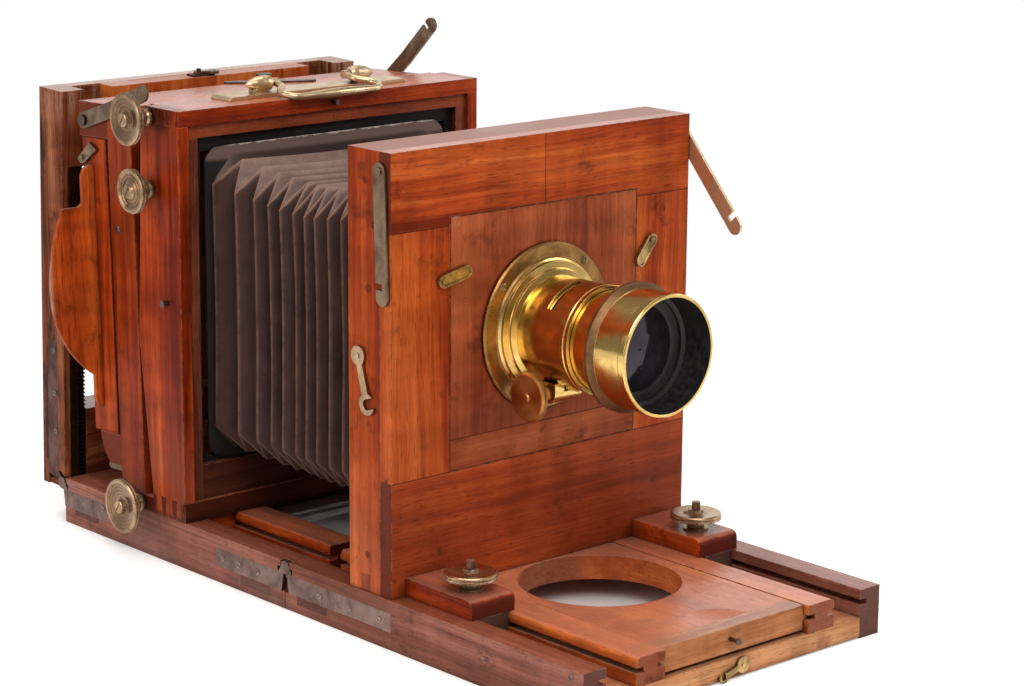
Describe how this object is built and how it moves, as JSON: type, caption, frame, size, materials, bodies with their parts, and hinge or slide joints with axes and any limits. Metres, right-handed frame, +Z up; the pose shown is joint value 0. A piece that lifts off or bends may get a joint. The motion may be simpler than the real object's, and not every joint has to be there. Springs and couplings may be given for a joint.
{
  "type": "wet plate camera",
  "caption": "Wooden wet plate camera on a grooved base, with a sliding front standard, pleated bellows, brass lens, racked swing back and folding tailboard.",
  "frame": {"origin": "underside of the base on its centre line, 1.5 mm behind the joint between the front and middle sections", "axes": "+Z up, -Y the way the lens looks, +X to the right as seen from the front"},
  "size_m": [0.3434, 0.6215, 0.3814],
  "materials": {
    "wood_rail": "satin",
    "wood_case": "gloss",
    "wood_pale": "satin",
    "wood_dark": "satin",
    "wood_inner": "matte",
    "wood_strip": "matte",
    "brass_knob": "aged satin",
    "brass_lens": "lacquered",
    "brass_hinge": "dull",
    "brass_rack": "dark",
    "steel_dark": "browned",
    "knob_lens": "lacquered brown",
    "glass": "clear",
    "bellows": "matte"
  },
  "bodies": {
    "base": {"front_rails": "wood_rail", "front_runners": "wood_pale", "mid_rails": "wood_rail", "mid_runners": "wood_pale", "cross_rails": "wood_dark", "rear_board": "wood_pale", "base_hinges": "brass_hinge", "base_racks": "brass_rack", "tripod_bush": "brass_knob", "bellows_front": "bellows", "bellows_rear": "bellows"},
    "panel": {"centre_panel": "wood_pale", "panel_end": "wood_pale", "panel_stud": "brass_knob"},
    "bed_hook": {"base_hook": "brass_knob"},
    "tailboard": {"tail_rails": "wood_rail", "tail_boards": "wood_pale", "tail_cross": "wood_pale", "tail_racks": "brass_rack", "tail_brass": "brass_hinge"},
    "tail_latch": {"tail_hook": "brass_knob"},
    "carriage": {"box_sides": "wood_case", "box_boards": "wood_case", "inner_frame": "wood_inner", "front_trim": "wood_dark", "carriage_blocks": "wood_dark", "handle_plate": "brass_hinge", "catch_studs": "brass_knob"},
    "pinion": {"rack_pinion": "steel_dark", "rack_knobs": "brass_knob"},
    "knob_ul": {"upper_knob_left": "brass_knob"},
    "knob_ll": {"lower_knob_left": "brass_knob"},
    "handle": {"bail": "steel_dark"},
    "swing": {"swing_cheeks": "wood_case", "swing_rails": "wood_case", "swing_brass": "brass_hinge", "drip_strip": "wood_strip", "plate_holder": "wood_dark"},
    "dark_slide": {"shutter": "wood_dark"},
    "slide_catch": {"shutter_catch": "brass_knob"},
    "tie_left": {"link_left": "steel_dark"},
    "tie_right": {"link_right": "steel_dark"},
    "front": {"front_case": "wood_case", "front_face": "wood_case", "lens_board": "wood_case", "feet": "wood_case", "front_guides": "wood_pale", "lens_jacket": "brass_lens"},
    "nut_left": {"thumb_nut_left": "brass_knob"},
    "nut_right": {"thumb_nut_right": "brass_knob"},
    "focus": {"lens_tube": "brass_lens", "lens_glass": "glass"},
    "focus_wheel": {"focus_knob": "knob_lens"},
    "turn_left": {"button_left": "brass_knob"},
    "turn_right": {"button_right": "brass_knob"},
    "brace_left": {"stay_left": "brass_knob"},
    "brace_right": {"stay_right": "brass_knob"},
    "side_hook": {"front_hook": "brass_knob"}
  },
  "joints": [
    {"name": "panel_slide", "type": "slide", "parent": "base", "child": "panel", "axis": [0, -1, 0], "range_m": [0, 0.25]},
    {"name": "bed_hook_turn", "type": "hinge", "parent": "base", "child": "bed_hook", "pos_m": [0.003, -0.309, 0.0088], "axis": [0, -1, 0], "range_deg": [-85, 0]},
    {"name": "tailboard_fold", "type": "hinge", "parent": "base", "child": "tailboard", "pos_m": [0, 0.2833, 0.0302], "axis": [1, 0, 0], "range_deg": [-91.93, 0]},
    {"name": "tail_hook_turn", "type": "hinge", "parent": "tailboard", "child": "tail_latch", "pos_m": [-0.009, 0.27514, 0.3376], "axis": [0, -0.0337, 0.9994], "range_deg": [0, 90]},
    {"name": "rear_slide", "type": "slide", "parent": "base", "child": "carriage", "axis": [0, 1, 0], "range_m": [-0.04, 0.012], "deforming": ["bellows_rear"]},
    {"name": "pinion_turn", "type": "hinge", "parent": "carriage", "child": "pinion", "pos_m": [0, 0.172, 0.04], "axis": [1, 0, 0], "range_deg": [-114.59, 381.97]},
    {"name": "upper_left_clamp", "type": "hinge", "parent": "carriage", "child": "knob_ul", "pos_m": [-0.141, 0.152, 0.3325], "axis": [-1, 0, 0], "range_deg": [0, 360]},
    {"name": "lower_left_clamp", "type": "hinge", "parent": "carriage", "child": "knob_ll", "pos_m": [-0.141, 0.152, 0.28], "axis": [-1, 0, 0], "range_deg": [0, 360]},
    {"name": "handle_fold", "type": "hinge", "parent": "carriage", "child": "handle", "pos_m": [0, 0.145, 0.349], "axis": [1, 0, 0], "range_deg": [-165, 0]},
    {"name": "back_swing", "type": "hinge", "parent": "carriage", "child": "swing", "pos_m": [0, 0.152, 0.166], "axis": [1, 0, 0], "range_deg": [-3, 2.6]},
    {"name": "dark_slide_pull", "type": "slide", "parent": "swing", "child": "dark_slide", "axis": [-1, 0, 0], "range_m": [0, 0.22]},
    {"name": "slide_catch_turn", "type": "hinge", "parent": "swing", "child": "slide_catch", "pos_m": [-0.139, 0.23944, 0.29183], "axis": [1, 0, 0], "range_deg": [-25, 12]},
    {"name": "left_link", "type": "hinge", "parent": "swing", "child": "tie_left", "pos_m": [-0.141, 0.23444, 0.32042], "axis": [1, 0, 0], "range_deg": [-110, 0]},
    {"name": "right_link", "type": "hinge", "parent": "swing", "child": "tie_right", "pos_m": [0.141, 0.23444, 0.32042], "axis": [1, 0, 0], "range_deg": [-90, 20]},
    {"name": "front_slide", "type": "slide", "parent": "base", "child": "front", "axis": [0, -1, 0], "range_m": [-0.04, 0.075], "deforming": ["bellows_front"]},
    {"name": "left_nut_turn", "type": "hinge", "parent": "front", "child": "nut_left", "pos_m": [-0.107, -0.163, 0.054], "axis": [0, 0, 1], "range_deg": [0, 360]},
    {"name": "right_nut_turn", "type": "hinge", "parent": "front", "child": "nut_right", "pos_m": [0.107, -0.163, 0.054], "axis": [0, 0, 1], "range_deg": [0, 360]},
    {"name": "lens_focus", "type": "slide", "parent": "front", "child": "focus", "axis": [0, -1, 0], "range_m": [-0.015, 0.015]},
    {"name": "focus_turn", "type": "hinge", "parent": "front", "child": "focus_wheel", "pos_m": [-0.02, -0.143, 0.1649], "axis": [1, 0, 0], "range_deg": [-245.55, 245.55]},
    {"name": "left_button", "type": "hinge", "parent": "front", "child": "turn_left", "pos_m": [-0.0944, -0.1175, 0.2493], "axis": [0, -1, 0], "range_deg": [0, 80]},
    {"name": "right_button", "type": "hinge", "parent": "front", "child": "turn_right", "pos_m": [0.1001, -0.1175, 0.2535], "axis": [0, -1, 0], "range_deg": [0, 80]},
    {"name": "left_stay", "type": "hinge", "parent": "front", "child": "brace_left", "pos_m": [-0.138, -0.1075, 0.327], "axis": [1, 0, 0], "range_deg": [-88, 92]},
    {"name": "right_stay", "type": "hinge", "parent": "front", "child": "brace_right", "pos_m": [0.138, -0.1075, 0.327], "axis": [1, 0, 0], "range_deg": [-48, 132]},
    {"name": "side_hook_turn", "type": "hinge", "parent": "front", "child": "side_hook", "pos_m": [-0.138, -0.0846, 0.1992], "axis": [1, 0, 0], "range_deg": [-60, 106]}
  ],
  "couplings": [
    {"joint": "pinion_turn", "follows": "rear_slide", "rad_per_m": -166.67},
    {"joint": "focus_turn", "follows": "lens_focus", "rad_per_m": 285.71}
  ]
}
